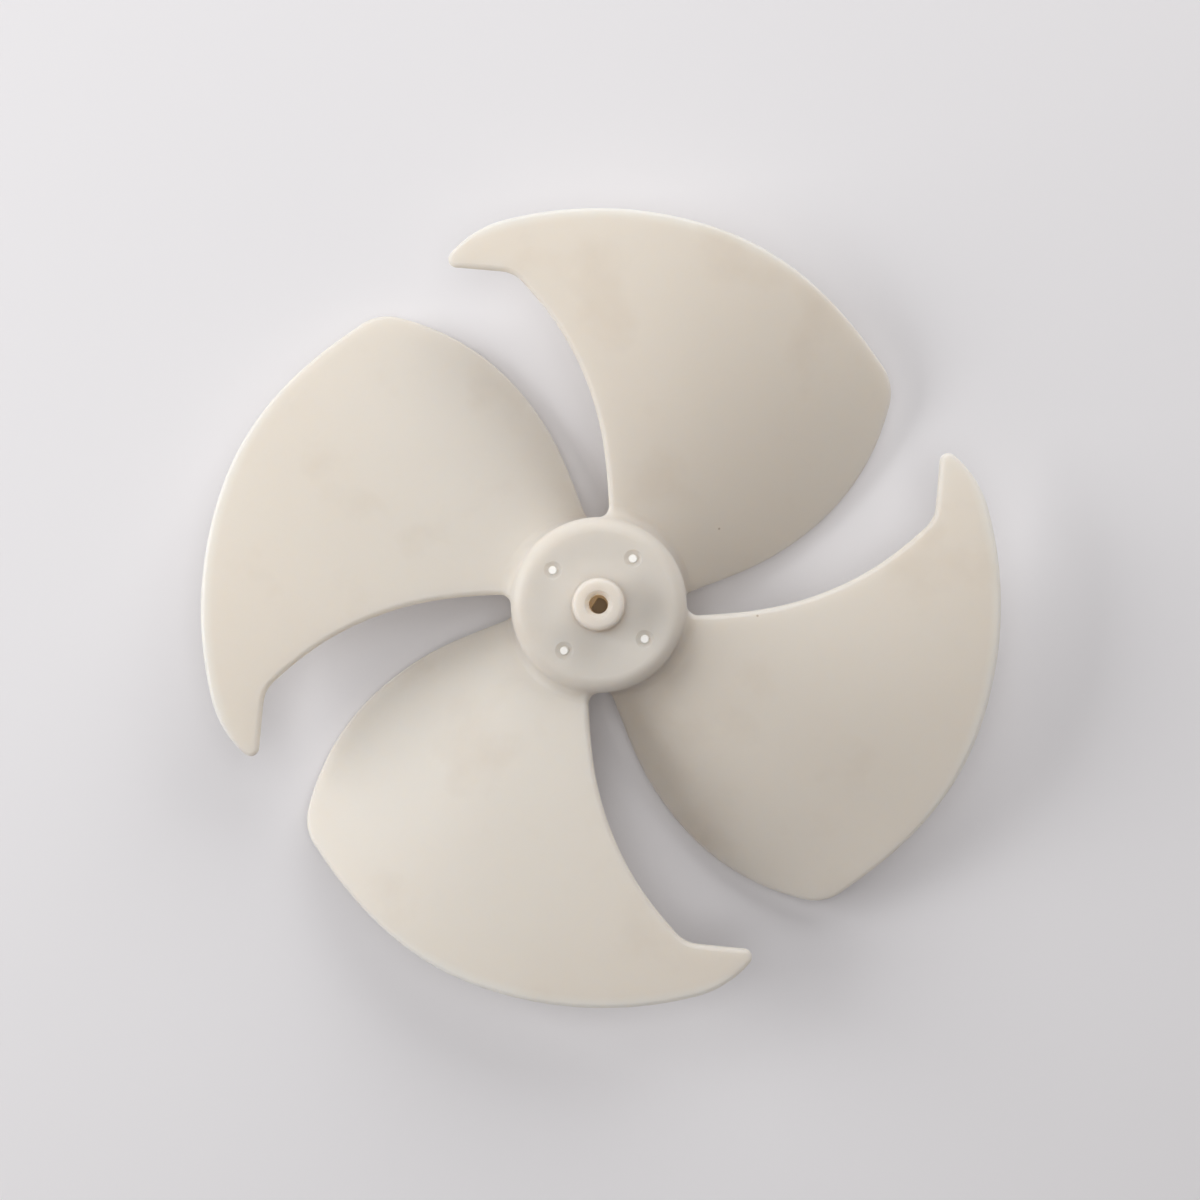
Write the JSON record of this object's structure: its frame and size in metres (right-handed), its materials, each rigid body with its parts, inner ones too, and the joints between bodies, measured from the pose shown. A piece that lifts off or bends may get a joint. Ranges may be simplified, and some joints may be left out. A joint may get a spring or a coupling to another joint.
{
  "type": "axial fan impeller",
  "caption": "Moulded axial fan impeller with a round hub cup, a bored boss and swept blades that end in pointed leading tips.",
  "frame": {"origin": "on the shaft axis, in the plane of the hub's open rear rim, on which the part rests", "axes": "+Z along the shaft axis towards the boss and the closed face of the hub, +X and +Y across the blades, with one blade's horn pointing between +Y and -X"},
  "size_m": [0.14, 0.14, 0.0265],
  "materials": {
    "moulding": "satin cream-white moulded plastic"
  },
  "bodies": {
    "root": {"impeller": "moulding"}
  },
  "joints": []
}
